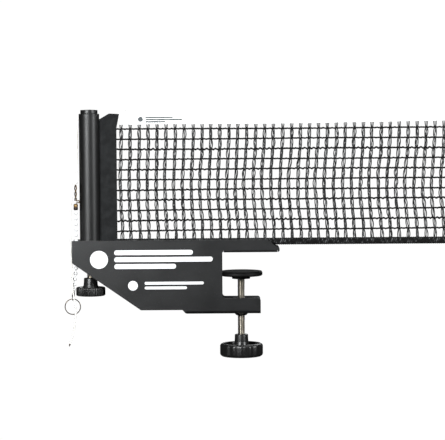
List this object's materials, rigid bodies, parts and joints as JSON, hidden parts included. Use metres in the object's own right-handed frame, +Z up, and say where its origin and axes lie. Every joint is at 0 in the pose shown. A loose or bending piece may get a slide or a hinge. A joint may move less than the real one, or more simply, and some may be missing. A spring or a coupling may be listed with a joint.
{
  "type": "table tennis net clamp",
  "caption": "Clamp-on table tennis net post with a folded jaw bracket, screw-up pressure disc, height screw, tension cord on a ball chain, and the near end of its net.",
  "frame": {"origin": "on the clamp screw's axis, on the underside of the jaw pad that sits on the table top, in the middle plane of the bracket", "axes": "+X along the net towards the middle of the table, +Y from the front plate to the rear plate, +Z up"},
  "size_m": [0.4237, 0.0462, 0.2658],
  "materials": {
    "clamp_coat": "dark grey fine-textured powder coat, matte with a soft sheen",
    "post_coat": "satin black powder-coated tube",
    "black_plastic": "moulded black plastic with a satin sheen",
    "guide_plastic": "plain black nylon",
    "pad_rubber": "black cellular rubber",
    "screw_steel": "zinc-plated threaded steel, slightly warm",
    "plain_steel": "plain zinc-plated steel",
    "hook_brass": "dulled brass wire",
    "chain_nickel": "worn nickel plate over brass",
    "canvas": "black woven canvas",
    "net_yarn": "black knitted polyester yarn",
    "white_tape": "white woven polyester tape",
    "white_cord": "off-white twisted cord",
    "burnt_cord": "melted cord end"
  },
  "bodies": {
    "clamp_frame": {"clamp_body": "clamp_coat", "table_seat_plate": "plain_steel", "jaw_pad": "pad_rubber", "post_guide_outer": "guide_plastic", "post_guide_inner": "guide_plastic", "base_bridge": "plain_steel", "height_nut": "screw_steel", "chain_catch": "plain_steel", "clamp_nut_boss": "black_plastic", "cord_knot": "white_cord", "cord_hook": "hook_brass", "chain_coupling": "hook_brass", "upper_chain": "chain_nickel", "cord_tail": "white_cord", "cord_burnt_tip": "burnt_cord"},
    "post": {"post_tube": "post_coat", "post_cap": "black_plastic", "post_foot_plug": "guide_plastic", "sleeve_rod": "guide_plastic", "net_sleeve": "canvas", "net_mesh": "net_yarn", "net_top_tape": "white_tape", "net_bottom_hem": "net_yarn", "net_end_binding": "canvas", "cord_end_knot": "white_cord", "tension_cord": "white_cord"},
    "height_drive": {"height_screw": "screw_steel", "height_screw_locknut": "screw_steel", "height_screw_clip": "plain_steel", "height_knob": "black_plastic", "height_knob_insert": "hook_brass"},
    "disc_carrier": {"swivel_bush": "hook_brass"},
    "disc": {"pressure_disc": "black_plastic", "disc_face_pad": "pad_rubber"},
    "clamp_drive": {"clamp_screw": "screw_steel", "clamp_screw_clip": "plain_steel", "clamp_knob": "black_plastic", "clamp_knob_insert": "hook_brass"},
    "hanging_chain": {"lower_chain": "chain_nickel", "ring_connector": "chain_nickel"},
    "ring": {"pull_ring": "chain_nickel"}
  },
  "joints": [
    {"name": "post_height", "type": "slide", "parent": "clamp_frame", "child": "post", "axis": [0, 0, 1], "range_m": [-0.002, 0.006], "deforming": ["tension_cord"]},
    {"name": "height_screw_turn", "type": "hinge", "parent": "post", "child": "height_drive", "pos_m": [-0.1615, 0, -0.035], "axis": [0, 0, 1], "range_deg": [-576, 1728]},
    {"name": "disc_travel", "type": "slide", "parent": "clamp_frame", "child": "disc_carrier", "axis": [0, 0, 1], "range_m": [-0.0215, 0.0195]},
    {"name": "disc_tilt", "type": "hinge", "parent": "disc_carrier", "child": "disc", "pos_m": [0, 0, -0.0266], "axis": [0, 1, 0], "range_deg": [-3, 3]},
    {"name": "clamp_screw_turn", "type": "hinge", "parent": "disc_carrier", "child": "clamp_drive", "pos_m": [0, 0, -0.06], "axis": [0, 0, 1], "range_deg": [-6192, 5616]},
    {"name": "chain_swing", "type": "hinge", "parent": "clamp_frame", "child": "hanging_chain", "pos_m": [-0.1762, -0.006, -0.0133], "axis": [0, 1, 0], "range_deg": [0, 35]},
    {"name": "ring_swing", "type": "hinge", "parent": "hanging_chain", "child": "ring", "pos_m": [-0.18052, -0.006, -0.0495], "axis": [0, 1, 0], "range_deg": [-12, 40]}
  ],
  "couplings": [
    {"joint": "height_screw_turn", "follows": "post_height", "rad_per_m": 5026.5},
    {"joint": "clamp_screw_turn", "follows": "disc_travel", "rad_per_m": 5026.5}
  ]
}
